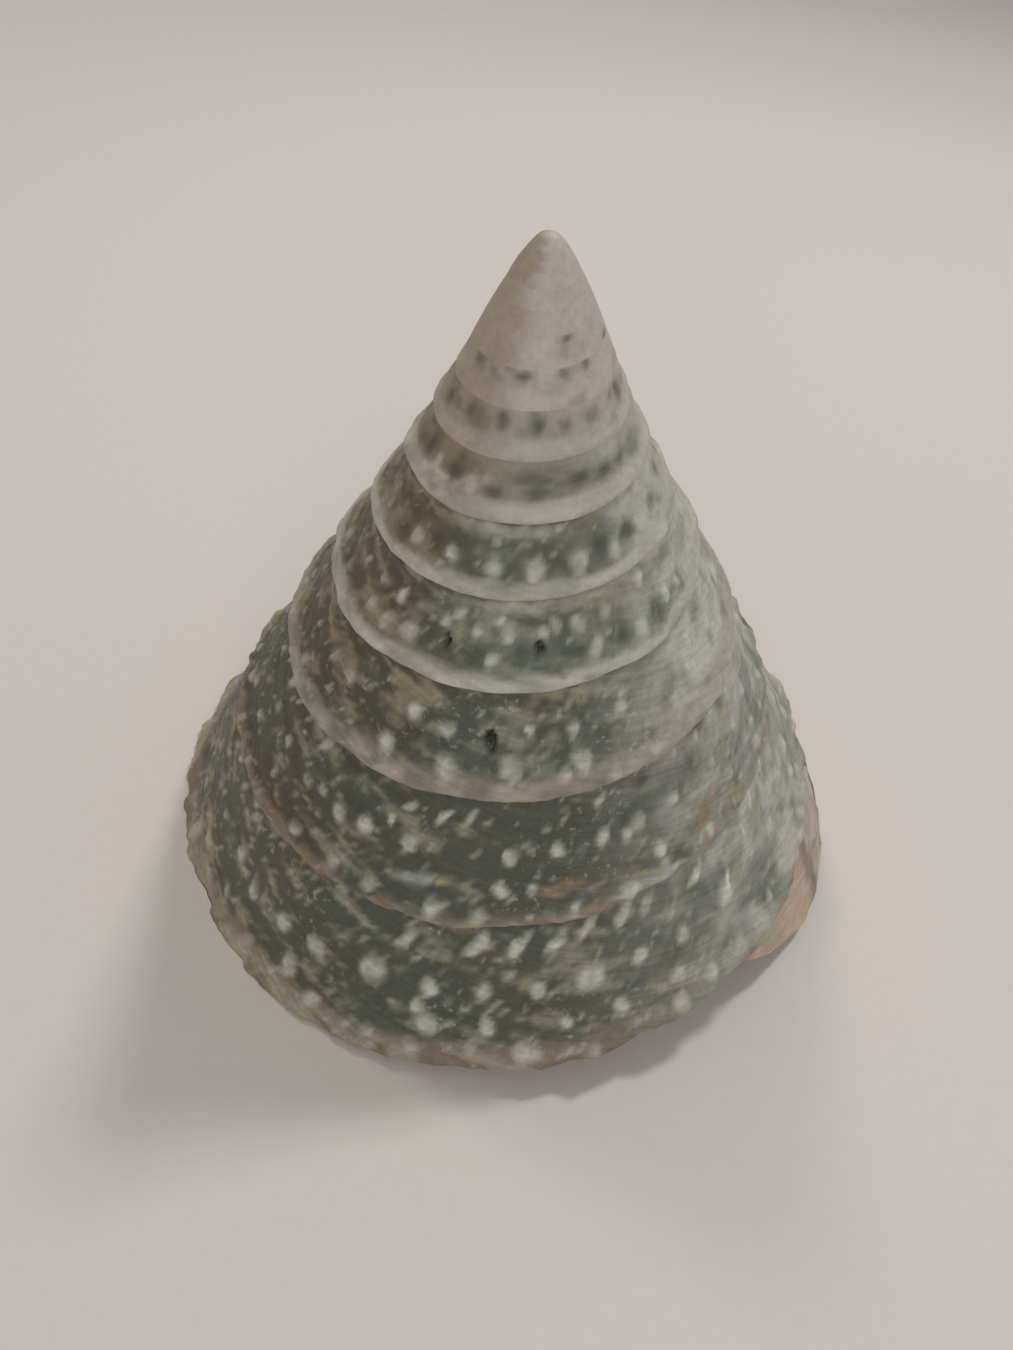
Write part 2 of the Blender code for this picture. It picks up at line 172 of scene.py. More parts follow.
# Fainter olive blotches of the same whorls, given in the same way
SEEN_STAINS = (
    (-2.84, 0.15, 0.35, 0.3, 1.2), (-3.0, 0.88, 0.4, 0.35, 1.4), (-2.2, 0.6, 0.4, 0.3, 0.8),
    (-2.4, 0.4, 0.3, 0.3, 0.7), (-0.66, 0.32, 1.0, 0.7, 0.8), (-0.60, 0.34, 0.6, 0.5, 0.8),
    (-0.76, 0.38, 0.8, 0.5, 0.6), (-0.97, 0.27, 0.6, 0.6, 0.8), (0.41, 0.18, 0.9, 0.8, 0.8),
    (0.33, 0.22, 0.8, 0.7, 0.8), (0.44, 0.45, 0.8, 0.9, 0.7), (0.13, 0.42, 1.4, 0.7, 0.7),
    (0.04, 0.45, 1.2, 0.8, 0.7), (0.23, 0.20, 1.4, 0.5, 0.5), (-1.67, 0.36, 0.7, 0.4, 0.35),
    (-1.62, 0.2, 0.5, 0.35, 0.5), (-1.0, 0.25, 0.5, 0.5, 0.7), (-0.94, 0.25, 0.4, 0.4, 0.6),
    (-1.80, 0.45, 0.9, 0.35, 0.3), (-1.5, 0.3, 0.7, 0.5, 0.4),
)
STAIN_REACH = (0.0013, 0.0011)
STAIN_STRENGTH = 0.55

# Rows of dark spots on the side away from the photo: first and last turn, share, size in millimetres,
# strength
SPOT_ROWS = (
    (1.0, 1.95, 0.54, 0.75, 0.6),
    (2.0, 2.95, 0.58, 0.6, 0.65),
    (0.0, 0.95, 0.42, 0.7, 0.5),
    (-1.5, -0.1, 0.3, 0.4, 0.35),
)
SPOTS_SEEN_AROUND = (0.05, 0.42)

# Pits that show in the photo: turn, share, half length and half width in millimetres, slope
PITS = ((3.242, 0.472, 0.42, 0.85, -0.2), (2.294, 0.56, 0.36, 0.42, 0.0), (2.21, 0.536, 0.34, 0.42, -0.4))
PIT_DEPTH = 0.0007

# The smooth margin before the lip: how far back it reaches in turns, as pairs of share and reach, the turns
# between which its colours change, and the width in metres of the rusty rim at the lip itself
LIP_MARGIN_REACH = ((0.25, 0.118), (0.75, 0.04))
LIP_MARGIN_BLUR = 0.006
LIP_BROWN_FROM = (6.008, 6.018)
LIP_BROWN_TO = (6.022, 6.032)
LIP_RUST_FROM = (6.022, 6.034)
LIP_GREEN_FROM = (6.060, 6.070)
LIP_RUSTY_RIM = (0.0008, 0.002)

# Patches that show in the photo, laid on in this order: the colour's name, then for each the turn, share,
# half length and half width in millimetres, slope and strength
PATCHES = (
    ("pink_cream", (0.345, 0.70, 1.8, 0.5, 0.0, 0.85), (0.385, 0.45, 0.4, 0.8, 0.0, 0.7)),
    ("deep_olive", (3.346, 0.46, 1.5, 0.5, 1.6, 0.9), (3.30, 0.52, 1.3, 0.45, 1.6, 0.9)),
    ("deep_olive", (3.38, 0.60, 1.0, 0.4, 1.6, 0.7), (3.40, 0.35, 1.0, 0.6, 1.4, 0.7)),
    ("deep_green", (3.215, 0.55, 0.9, 0.7, 0.0, 0.8), (3.16, 0.58, 0.8, 0.7, 0.0, 0.6)),
    ("deep_green", (5.315, 0.62, 1.4, 0.9, 1.0, 0.8), (5.262, 0.60, 1.6, 0.7, 1.0, 0.8)),
    ("deep_green", (5.16, 0.62, 1.8, 0.8, 1.0, 0.7)),
    ("teal", (4.15, 0.36, 4.5, 1.3, 0.0, 0.85), (4.19, 0.55, 3.0, 1.2, 0.0, 0.7)),
    ("teal", (5.11, 0.34, 4.0, 2.2, 1.0, 0.6), (5.07, 0.60, 4.0, 2.6, 1.0, 0.5)),
    ("light_green", (4.13, 0.22, 2.6, 0.35, 0.0, 0.6)),
    ("blue_white", (4.278, 0.72, 1.9, 0.8, 1.6, 0.8), (4.262, 0.88, 1.0, 0.5, 1.0, 0.6)),
    ("blue_white", (4.143, 0.95, 4.2, 0.42, -0.6, 1.0)),
    ("brown", (4.195, 0.76, 2.4, 0.8, 0.8, 0.85)),
    ("rust", (4.175, 0.80, 1.2, 0.4, 1.2, 0.55)),
    ("brown", (4.095, 0.78, 1.4, 1.4, 0.0, 0.8)),
    ("rust", (4.085, 0.70, 0.7, 0.5, 0.0, 0.6)),
    ("brown", (4.175, 0.02, 1.6, 0.4, 0.0, 0.8), (4.30, 0.05, 1.4, 0.4, 0.0, 0.5)),
    ("yellow", (4.262, 0.713, 0.55, 0.32, 0.6, 0.9)),
    ("cream", (5.236, 0.152, 1.5, 0.6, 0.0, 0.7)),
    ("brown", (5.25, 0.05, 2.2, 0.6, 0.0, 0.6)),
    ("pale", (5.054, 0.14, 0.35, 1.1, 0.5, 0.9), (5.068, 0.22, 0.3, 1.0, 0.5, 0.8)),
    ("pale", (5.030, 0.17, 0.3, 0.9, 0.4, 0.6)),
    ("white", (5.092, 0.385, 0.34, 1.2, 0.4, 1.0)),
    ("pink_cream", (0.375, 0.72, 2.4, 0.95, 0.0, 1.0), (0.318, 0.58, 1.3, 0.9, 0.0, 0.9)),
    ("pink_cream", (0.288, 0.36, 0.8, 0.5, 0.0, 0.6)),
    ("pale_green", (1.25, 0.12, 6.0, 0.6, 0.0, 0.55), (2.22, 0.10, 9.0, 0.6, 0.0, 0.45)),
    ("brown", (3.22, 0.86, 7.0, 0.8, 0.0, 0.35)),
    ("deep_olive", (1.345, 0.02, 1.4, 0.28, 0.0, 0.7)),
)

# Small pale specks, strewn between these turns, in metres
SPECK_TURNS = (0.6, 6.1)
SPECK_SPACING = 0.0017
SPECK_SIZES = (0.0002, 0.00055)
SEED = 12

# Colours of the shell, linear
PALETTE = {
    "deep_green": (0.068, 0.088, 0.066),
    "deep_olive": (0.080, 0.064, 0.035),
    "teal": (0.085, 0.112, 0.098),
    "light_green": (0.255, 0.275, 0.200),
    "light_brown": (0.275, 0.225, 0.135),
    "grey": (0.54, 0.53, 0.47),
    "tan": (0.40, 0.335, 0.245),
    "pink_grey": (0.54, 0.49, 0.445),
    "pale_green": (0.50, 0.49, 0.40),
    "pink_cream": (0.47, 0.415, 0.34),
    "cream": (0.44, 0.40, 0.28),
    "olive_cream": (0.62, 0.575, 0.46),
    "pale": (0.61, 0.62, 0.52),
    "white": (0.70, 0.70, 0.62),
    "blue_white": (0.40, 0.43, 0.39),
    "brown": (0.27, 0.205, 0.125),
    "rust": (0.52, 0.375, 0.27),
    "yellow": (0.46, 0.42, 0.20),
    "yellow_green": (0.40, 0.38, 0.24),
    # Near-black painted shade for the hollows of the pits
    "pit": (0.030, 0.030, 0.022),
}

# How the colours run down the turns, as pairs of turn and value
DARKNESS = (
    (-3.0, 0.0), (-2.0, 0.05), (-0.5, 0.2), (0.5, 0.3), (1.0, 0.5), (1.5, 0.55), (2.2, 0.56), (3.0, 0.66),
    (3.6, 0.72), (4.1, 0.84), (5.0, 0.77), (5.6, 0.77),
)
DARK_VALUE = ((1.5, 1.3), (4.0, 1.0))
# The left side is made warmer and more olive: painted warm shade
LEFT_WARM_PAINTED_SHADE = ((3.4, 0.8), (4.3, 0.42))
# Paler grey at the right: partly the shell's own grey wear, partly painted light, as the right side is lit more
RIGHT_GREY_AND_PAINTED_LIGHT = ((1.5, 0.95), (2.5, 0.98), (4.0, 0.72), (5.2, 0.78))
BEAD_PALENESS = ((1.0, 0.75), (4.0, 0.95))
# The pale band along the lower edge: the share where it starts, its strength, and the value of its shaded
# parts
BAND_START = (
    (-3.0, 0.75), (-1.0, 0.60), (0.0, 0.60), (0.9, 0.66), (1.1, 0.77), (2.0, 0.81), (3.0, 0.78), (3.5, 0.80),
    (4.0, 0.94), (4.5, 0.935), (5.0, 0.86), (6.0, 0.85),
)
BAND_STRENGTH = (
    (-3.0, 0.0), (-1.0, 0.6), (0.6, 1.0), (1.0, 1.0), (2.8, 0.95), (3.0, 0.7), (3.9, 0.65), (4.0, 0.8),
    (4.6, 0.75), (4.9, 0.1), (5.12, 0.1), (5.2, 0.7),
)
BAND_SHADE = ((2.3, 0.8), (3.0, 0.6))
# The turns over which the bleached tip ends
BLEACHED_UNTIL = (-2.0, 0.9)
BLEACHED_MOST = 0.97


def smooth_step(value, low, high):
    share = np.clip((value - low) / (high - low), 0, 1)
    return share * share * (3 - 2 * share)


def along_pairs(place, pairs):
    """The value at each place, between pairs of place and value."""
    return np.interp(place, *zip(*pairs))


def tip_rise(radius):
    """How far the swollen and rounded tip stands above the plain cone at this radius."""
    blunt = SPIRE_HEIGHT / EDGE_RADIUS * (np.hypot(radius, TIP_ROUNDING) - radius)
    return TIP_SWELL * np.exp(-((radius / TIP_SWELL_REACH) ** 2)) - blunt


def cone_height(radius):
    share = radius / EDGE_RADIUS
    return (SPIRE_HEIGHT - SPIRE_FULLNESS * share) * (1 - share) + tip_rise(radius)


def plain_radius(turn):
    return EDGE_RADIUS * GROWTH_PER_TURN ** (turn - EDGE_TURN)


def edge_section(turn):
    """The whorl's edge at this turn, as radius and height."""
    radius = plain_radius(turn) + TIP_WIDENING * tip_rise(plain_radius(turn))
    settled = smooth_step(turn, *LAST_TURN_SETTLES)
    drawn_in = radius * (1 - LAST_NARROWING * settled)
    return np.stack((drawn_in, cone_height(radius) - LAST_DROP * settled), axis=-1)


def edge_radius(turn):
    return edge_section(turn)[..., 0]


def radius_at(turn):
    """The same for one turn, as a plain number."""
    return float(edge_radius(np.float64(turn)))


def side_section(turn, share):
    share = np.asarray(share)[..., None]
    return (1 - share) * edge_section(turn - 1) + share * edge_section(turn)


def base_section(turn, share):
    edge = edge_section(turn)
    radius, height = edge[..., 0], edge[..., 1]
    rise = BASE_RISE * np.sin(share * math.pi / 2)
    return np.stack((radius * (1 - share * (1 - PILLAR_RADIUS)), height + rise * radius), axis=-1)


def whorl_width(turn):
    return np.linalg.norm(edge_section(turn) - edge_section(turn - 1), axis=-1)


def width_at(turn):
    return float(whorl_width(np.float64(turn)))


def outward(turn):
    along = edge_section(turn) - edge_section(turn - 1)
    return np.stack((-along[..., 1], along[..., 0]), axis=-1) / np.linalg.norm(along, axis=-1)[..., None]


def to_space(section, turn):
    azimuth = math.radians(START_AZIMUTH_DEG) - 2 * math.pi * turn
    radius, height = section[..., 0], section[..., 1]
    return np.stack((radius * np.cos(azimuth), radius * np.sin(azimuth), height + 0 * azimuth), axis=-1)


def hashed(x, y, seed):
    """Repeatable random numbers from -1 to 1, one for each whole-number place."""
    value = (x * 374761393 + y * 668265263 + seed * 1013904223) & 0xFFFFFFFF
    value = ((value ^ (value >> 13)) * 1274126177) & 0xFFFFFFFF
    return (value ^ (value >> 16)) / 0x7FFFFFFF - 1


def noise(x, y, seed):
    """Smooth noise from -1 to 1."""
    places = [np.asarray(axis, float) + np.zeros_like(x, float) for axis in (x, y)]
    cells = [np.floor(axis).astype(np.int64) for axis in places]
    inside = [axis - cell for axis, cell in zip(places, cells)]
    inside = [axis * axis * (3 - 2 * axis) for axis in inside]
    total = 0.0
    for corner in range(4):
        step = corner & 1, corner >> 1
        weight = 1.0
        for axis, up in zip(inside, step):
            weight = weight * (axis if up else 1 - axis)
        total = total + weight * hashed(cells[0] + step[0], cells[1] + step[1], seed)
    return total


def cloudy(x, y, seed, octaves=3):
    """Noise with finer and weaker noise on top of it, from -1 to 1."""
    total, reach = 0.0, 0.0
    for octave in range(octaves):
        scale = 2.0**octave
        total = total + noise(x * scale, y * scale, seed + octave) / scale
        reach += 1 / scale
    return total / reach


def length_along(turn):
    """Length of the edge's line up to this turn."""
    return 2 * math.pi * plain_radius(turn) / math.log(GROWTH_PER_TURN)


def growth_turn(turn, share):
    """The turn at which the growing lip made this place."""
    return turn - GROWTH_SLANT * (1 - share)


class Surface:
    """Many places on the side, kept in order of turn, so that a small oval touches only those near it."""

    def __init__(self, turn, share):
        self.turn, self.share = turn, share
        self.along, self.down = length_along(turn), share * whorl_width(turn)
        self.grown = length_along(growth_turn(turn, share))
        self.order = np.argsort(turn)
        self.back = np.empty_like(self.order)
        self.back[self.order] = np.arange(len(turn))
        ragged = OVAL_RAGGEDNESS * cloudy(self.along / 0.0010, self.down / 0.0010, seed=71)
        ragged_too = OVAL_RAGGEDNESS * cloudy(self.along / 0.0010, self.down / 0.0010, seed=81)
        self.near_turn = (turn + ragged / (2 * math.pi * edge_radius(turn)))[self.order]
        self.near_share = (share + ragged_too / whorl_width(turn))[self.order]

    def cloud(self, long, wide, seed, octaves=3):
        """Cloudy noise with lumps of this length along the winding and this width across it."""
        return cloudy(self.along / long, self.down / wide, seed, octaves)

    def brushed(self, long, wide, seed, octaves=3):
        """Cloudy noise drawn out along the growth lines."""
        return cloudy(self.grown / long, self.down / wide, seed, octaves)

    def ovals(self, places, rim=0.2):
        """The strongest oval at each place, at full strength within the share "rim" of its reach.

        One oval is (turn, share, half length, half width, slope, strength).
        """
        total = np.zeros(len(self.turn))
        for turn, share, long, wide, slope, strength in places:
            radius = radius_at(turn)
            reach = (long + abs(slope) * wide) / (2 * math.pi * radius)
            low, high = np.searchsorted(self.near_turn, (turn - reach, turn + reach))
            around = (self.near_turn[low:high] - turn) * 2 * math.pi * radius
            down = (self.near_share[low:high] - share) * width_at(turn)
            apart = np.hypot((around - slope * down) / long, down / wide)
            shape = strength * (1 - smooth_step(apart, rim, 1.0))
            total[low:high] = np.maximum(total[low:high], shape)
        return total[self.back]


def seen(turn):
    """Whether the beads of this turn show in the photo."""
    return any(low < turn < high for low, high in SEEN_STRETCHES)


def bead_row(turn, share):
    """The row that a bead seen here belongs to."""
    there = [row for row in BEAD_ROWS if row[5] < turn < row[6]]
    return min(there, key=lambda row: abs(row[0] - share))


def make_beads():
    """Every bead as an oval, with its paleness for its strength."""
    chance = random.Random(SEED)
    beads = []
    for turn, share, width in SEEN_BEADS:
        row = bead_row(turn, share)
        reach = width * SEEN_BEAD_REACH
        beads.append((turn, share, reach, reach * row[3], row[4], 1.0))
    for row_share, rate, width, stretch, slope, first, last in BEAD_ROWS:
        turn = first
        while turn < min(last, LIP_TURN_AT_EDGE + lip_lead(0.0)):
            turn += chance.uniform(0.75, 1.25) / (BEADS_PER_TURN * BEADS_GROWTH**turn * rate)
            share = row_share + chance.gauss(0, 0.03)
            reach = width * chance.uniform(0.6, 1.3) * radius_at(turn)
            pale = chance.uniform(0.5, 1.0)
            if not (seen(turn) and row_share < STREWN_BELOW_SHARE):
                beads.append((turn, share, reach, reach * stretch, slope, pale))
    return beads


def make_spots():
    """The dark spots and blotches of the upper whorls, as ovals."""
    chance = random.Random(SEED + 1)
    spots = []
    for turn, share, long, wide, strength in SEEN_SPOTS:
        strength = min(1.0, strength * SPOT_STRENGTH)
        spots.append((turn, share, long * SPOT_REACH[0], wide * SPOT_REACH[1], 0.0, strength))
    for turn, share, long, wide, strength in SEEN_STAINS:
        strength = STAIN_STRENGTH * strength
        spots.append((turn, share, long * STAIN_REACH[0], wide * STAIN_REACH[1], 0.0, strength))
    for first, last, row_share, size, most in SPOT_ROWS:
        turn = first
        while turn < last:
            turn += chance.uniform(0.035, 0.06)
            share = row_share + chance.gauss(0, 0.05)
            long = size * chance.uniform(0.6, 1.2) * MILLIMETRE
            wide = size * chance.uniform(0.7, 1.4) * MILLIMETRE
            if not SPOTS_SEEN_AROUND[0] <= turn % 1.0 <= SPOTS_SEEN_AROUND[1]:
                spots.append((turn, share, long, wide, 0.0, most * chance.uniform(0.6, 1.4)))
    return spots


def make_specks():
    """Small pale specks strewn over the whorls, as ovals."""
    chance = random.Random(SEED + 2)
    specks = []
    turn, last = SPECK_TURNS
    while turn < last:
        radius = radius_at(turn)
        turn += chance.uniform(0.3, 1.7) * SPECK_SPACING**2 / (2 * math.pi * radius * width_at(turn))
        reach = chance.uniform(*SPECK_SIZES) * (0.55 + 0.45 * min(1.0, radius / EDGE_RADIUS))
        share, across = chance.uniform(0.03, 0.97), reach * chance.uniform(0.7, 1.3)
        specks.append((turn, share, reach, across, 0.8, chance.uniform(0.25, 0.8)))
    return specks


def in_metres(places):
    """The same ovals with their half lengths and half widths in metres."""
    return [(*place[:2], place[2] * MILLIMETRE, place[3] * MILLIMETRE, *place[4:]) for place in places]


def pit_ovals():
    return in_metres([(*pit, 1.0) for pit in PITS])


def worn_unevenness(turn, share):
    """Soft dents of the worn tip, which cross the seams."""
    x, y, z = to_space(side_section(turn, share), turn).T
    return 0.00007 * cloudy((x + 0.3 * z) / 0.0017, (y - 0.4 * z) / 0.0017, seed=95, octaves=2)


def cord_and_ledge(turn, share):
    """The relief that runs along the whorls, as a share of the edge's radius."""
    shares, young, old = zip(*PROFILE)
    age = smooth_step(turn, *PROFILE_TURNS)
    relief = np.interp(share, shares, young) * (1 - age) + np.interp(share, shares, old) * age
    return relief * smooth_step(turn, *PROFILE_GROWS)


def side_lift(surface, beads):
    """How far the side stands out from the plain cone, in metres."""
    turn, share = surface.turn, surface.share
    profile = cord_and_ledge(turn, share)
    bead = surface.ovals([(*bead[:5], bead[2] * BEAD_HEIGHT) for bead in beads], rim=0.0)
    pits = surface.ovals(pit_ovals(), rim=0.5)
    strength = smooth_step(turn, *ROUGHNESS_GROWS)
    brushed = surface.brushed(0.0016, 0.0016, seed=5) * 0.00009
    waves = surface.cloud(0.004, 0.004, seed=9) * 0.00022
    rough = surface.cloud(0.0009, 0.0009, seed=21, octaves=2) * 0.00006
    ragged = smooth_step(share, 0.9, 0.98) * smooth_step(turn, 3.0, 4.2)
    chips = cloudy(surface.along / 0.0014, 0.0 * share, seed=31) * 0.00035
    on_cord = smooth_step(share, 0.75, 0.9)
    cord_waves = on_cord * cloudy(surface.along / 0.0018, 0.0 * share, seed=35, octaves=2) * 0.00014
    lift = profile * edge_radius(turn) + bead * (0.4 + 0.6 * strength) - PIT_DEPTH * pits
    uneven = brushed + waves + rough + cord_waves + ragged * chips
    return lift + uneven * strength + worn_unevenness(turn, share) * (1 - strength)


def cell(turn):
    """The size of the surface's cells at this turn, in metres."""
    return SIDE_CELL[0] + SIDE_CELL[1] * radius_at(turn) / EDGE_RADIUS


def edge_columns():
    """The turns of the side's columns, from the tip to the lip."""
    found = [FIRST_TURN]
    while found[-1] < LIP_TURN_AT_EDGE:
        found.append(found[-1] + cell(found[-1]) / (2 * math.pi * radius_at(found[-1])))
    stretch = (LIP_TURN_AT_EDGE - FIRST_TURN) / (found[-1] - FIRST_TURN)
    return FIRST_TURN + (np.array(found) - FIRST_TURN) * stretch


def row_shares(turn):
    """Shares of a column's vertices, closer together at both ends, without the edge's own."""
    count = max(4, 4 * round(width_at(turn) / cell(turn) / 4))
    even = np.arange(1, count) / count
    return even - ROW_CROWDING * np.sin(2 * math.pi * even) / (2 * math.pi)


class Grid:
    """Vertices and faces gathered as lists. Each corner keeps its own turn and share."""

    def __init__(self):
        self.turns = []
        self.shares = []
        self.points = []
        self.faces = []
        self.corner_turns = []
        self.corner_shares = []
        self.looks = []

    def vertex(self, turn, share, point=None):
        self.turns.append(turn)
        self.shares.append(share)
        self.points.append(point)
        return len(self.turns) - 1

    def face(self, corners, turns=None, shares=None, *, look):
        keep = list(dict.fromkeys(corners))
        if len(keep) < 3:
            return
        self.faces.append(keep)
        self.looks.append(look)
        for vertex in keep:
            at = corners.index(vertex)
            self.corner_turns.append(self.turns[vertex] if turns is None else turns[at])
            self.corner_shares.append(self.shares[vertex] if shares is None else shares[at])

    def patch(self, places, look):
        """A face between places of (vertex, turn, share)."""
        self.face(*zip(*places), look=look)

    def zip_rows(self, first, second, look):
        """Fills the strip between two rows of (position, vertex, turn, share) with triangles."""
        i = j = 0
        while i < len(first) - 1 or j < len(second) - 1:
            take_first = j == len(second) - 1 or (i < len(first) - 1 and first[i + 1][0] < second[j + 1][0])
            if take_first:
                three = first[i], first[i + 1], second[j]
                i += 1
            else:
                three = first[i], second[j + 1], second[j]
                j += 1
            self.patch([place[1:] for place in three], look)


OUTSIDE, UNDERSIDE, INSIDE = range(3)


def lip_lead(share):
    """How far ahead of its lower end the slanting lip is at this share, in turns."""
    return LIP_SLANT * (1 - share) - LIP_BOW * (1 - share) ** 2


def slant(column, share):
    """How far the places of this column lean ahead towards the lip, in turns."""
    near_lip = smooth_step(column, LIP_TURN_AT_EDGE - LIP_APPROACH_TURNS, LIP_TURN_AT_EDGE)
    return lip_lead(share) * near_lip


def add_side(grid):
    """The side of every whorl as one strip wound from the tip to the lip."""
    turns = edge_columns()
    edge = [grid.vertex(turn, 1.0) for turn in turns]
    tip = grid.vertex(FIRST_TURN, 1.0, (0.0, 0.0, float(cone_height(0.0))))
    start = int(np.searchsorted(turns, FIRST_TURN + 1))
    sides = []
    for n in range(start, len(turns)):
        shares = row_shares(turns[n])
        slants = slant(turns[n], shares)
        side = []
        for share, ahead in zip(shares, slants):
            turn = turns[n] + ahead
            side.append((share, grid.vertex(turn, share), turn, share))
        side.append((1.0, edge[n], turns[n], 1.0))
        sides.append(side)
    for n in range(start - 1):
        grid.face([tip, edge[n], edge[n + 1]], look=OUTSIDE)
    before = edge[start - 1]
    for upper, lower in zip(sides[0], sides[0][1:]):
        grid.face([before, upper[1], lower[1]], look=OUTSIDE)
    grid.face([before, edge[0], sides[0][0][1]], look=OUTSIDE)
    grid.face([before, tip, edge[0]], look=OUTSIDE)
    for left, right in zip(sides, sides[1:]):
        if len(left) == len(right):
            for n in range(len(left) - 1):
                four = left[n], left[n + 1], right[n + 1], right[n]
                grid.patch([place[1:] for place in four], OUTSIDE)
        else:
            grid.zip_rows(left, right, OUTSIDE)
    seam = [(turn + 1, vertex, turn + 1, 0.0) for turn, vertex in zip(turns, edge)]
    seam = [place for place in seam if place[0] <= LIP_TURN_AT_EDGE + lip_lead(0.0)]
    top = [(side[0][2], side[0][1], side[0][2], side[0][3]) for side in sides]
    grid.zip_rows(top, seam, OUTSIDE)
    return turns, edge, len(seam) - 1, [place[1] for place in sides[-1]]


def roof_turn(share, seam_turn):
    """Where the base starts above the mouth, from the seam to the pillar."""
    return seam_turn + (ROOF_TURN_AT_PILLAR - 1 - seam_turn) * share


def lip_turn(share):
    """Where the base ends at the lip, from the edge to the pillar."""
    return LIP_TURN_AT_EDGE + (LIP_TURN_AT_PILLAR - LIP_TURN_AT_EDGE) * share


def base_point(turn, share):
    """A place on the base, with its low spiral cords and growth lines."""
    radius = edge_radius(turn)
    inner = smooth_step(share, 0.03, 0.12) * (1 - smooth_step(share, 0.9, 1.0))
    cords = np.cos(share * 2 * math.pi * BASE_CORDS) * 0.006
    lines = cloudy(length_along(turn) / 0.0009, share * 3, seed=41, octaves=2) * 0.003
    section = base_section(turn, share)
    section[..., 1] += inner * (cords + lines) * radius
    return to_space(section, turn)


def add_base(grid, turns, edge, seam_index):
    """The base of the last whorl, from the roof of the mouth round to the lip. Returns its columns."""
    seam_turn = turns[seam_index]
    shares = np.arange(1, BASE_CELLS + 1) / BASE_CELLS
    columns = []
    last = len(turns) - 1
    for n in range(seam_index, len(turns)):
        along = (turns[n] - seam_turn) / (LIP_TURN_AT_EDGE - seam_turn)
        here = (1 - along) * roof_turn(shares, seam_turn) + along * lip_turn(shares)
        column = [(edge[n], turns[n], 0.0)]
        if (n - seam_index) % 2 == 0 or n == last:
            for turn, share, point in zip(here, shares, base_point(here, shares)):
                column.append((grid.vertex(turn, share, tuple(point)), turn, share))
        columns.append(column)
    full = [n for n, column in enumerate(columns) if len(column) > 1]
    for low, high in zip(full, full[1:]):
        left, right = columns[low], columns[high]
        rim = [columns[n][0] for n in range(low, high + 1)]
        grid.patch(rim + [right[1], left[1]], UNDERSIDE)
        for n in range(1, BASE_CELLS):
            grid.patch([left[n], left[n + 1], right[n + 1], right[n]], UNDERSIDE)
    return [columns[n] for n in full]


def edge_corner(turn):
    """Where the hollow's own edge lies: its share of the whorl's side, and its share of the base."""
    side = edge_section(turn) - edge_section(turn - 1)
    angle = math.atan2(-side[1], side[0]) - math.atan(BASE_RISE * math.pi / 2 / (1 - PILLAR_RADIUS))
    back = WALL * (1 + math.cos(angle)) / math.sin(angle)
    side_share = 1 - back / np.linalg.norm(side)
    corner = side_section(turn, side_share) - WALL * outward(turn)
    radius = edge_radius(turn)
    return side_share, (radius - corner[0]) / (radius * (1 - PILLAR_RADIUS))


def hollow_section(turn, share, part, ramp):
    """A point of the hollow's outline, a wall's thickness inside the outer one."""
    if part == "side":
        wall = WALL * max(ramp, min(share / LIP_TAPER_SHARE, 1.0))
        return side_section(turn, share * edge_corner(turn)[0]) - wall * outward(turn)
    if part == "floor":
        first = edge_corner(turn)[1]
        last = 1 - WALL / edge_radius(turn)
        return base_section(turn, first + (last - first) * share) + np.array((0, WALL))
    if part == "roof":
        seam = hollow_section(turn, 0.0, "side", ramp)
        radius = edge_radius(turn - 1)
        first = (radius - seam[0]) / (radius * (1 - PILLAR_RADIUS))
        last = 1 - ramp * WALL / radius
        return base_section(turn - 1, first + (last - first) * share) - np.array((0, ROOF_WALL * ramp))
    low = hollow_section(turn, share, "floor", ramp)
    high = hollow_section(turn, share, "roof", ramp)
    return (low + high) / 2


def add_mouth(grid, turns, edge, seam_index, last_side, base_columns):
    """The hollow of the last whorl: a rim along the lip, then a tube that winds back inside and closes."""
    seam_turn = turns[seam_index]
    shares = np.arange(1, BASE_CELLS + 1) / BASE_CELLS
    places = [(seam_turn + 1, 0.0, "side")]
    places += [(LIP_TURN_AT_EDGE + lip_lead(share), share, "side") for share in row_shares(turns[-1])]
    places += [(LIP_TURN_AT_EDGE, 0.0, "floor")]
    places += [(lip_turn(share), share, "floor") for share in shares]
    pillar_turn = (LIP_TURN_AT_PILLAR + ROOF_TURN_AT_PILLAR) / 2
    places += [(pillar_turn, 1.0, "pillar")]
    places += [(roof_turn(share, seam_turn) + 1, share, "roof") for share in reversed(shares)]
    front = to_space((base_section(pillar_turn, 1.0) + base_section(pillar_turn - 1, 1.0)) / 2, pillar_turn)
    outer = [edge[seam_index]] + last_side + [v[0] for v in base_columns[-1][1:]]
    outer.append(grid.vertex(pillar_turn, 1.0, tuple(front)))
    outer += [v[0] for v in reversed(base_columns[0][1:])]
    roof_start = len(outer) - BASE_CELLS
    rings = []
    for step in range(MOUTH_STEPS + 1):
        depth = MOUTH_DEPTH_TURNS * step / MOUTH_STEPS
        ramp = min(depth / ROOF_RAMP_TURNS, 1.0)
        ring = []
        for n, (turn, share, part) in enumerate(places):
            if step == 0 and (n == 0 or n >= roof_start):
                ring.append(outer[n])
            else:
                point = to_space(hollow_section(turn - depth, share, part, ramp), turn - depth)
                ring.append(grid.vertex(turn - depth, share, tuple(point)))
        rings.append(ring)
    for step, (first, second) in enumerate(zip([outer] + rings, rings)):
        look = UNDERSIDE if step == 0 else INSIDE
        for n in range(len(outer)):
            after = (n + 1) % len(outer)
            grid.face([first[n], first[after], second[after], second[n]], look=look)
    middle = np.mean([grid.points[v] for v in rings[-1]], axis=0)
    end = grid.vertex(0.0, 0.0, tuple(middle))
    for n, vertex in enumerate(rings[-1]):
        grid.face([vertex, rings[-1][(n + 1) % len(outer)], end], look=INSIDE)
    return outer[roof_start - 1]


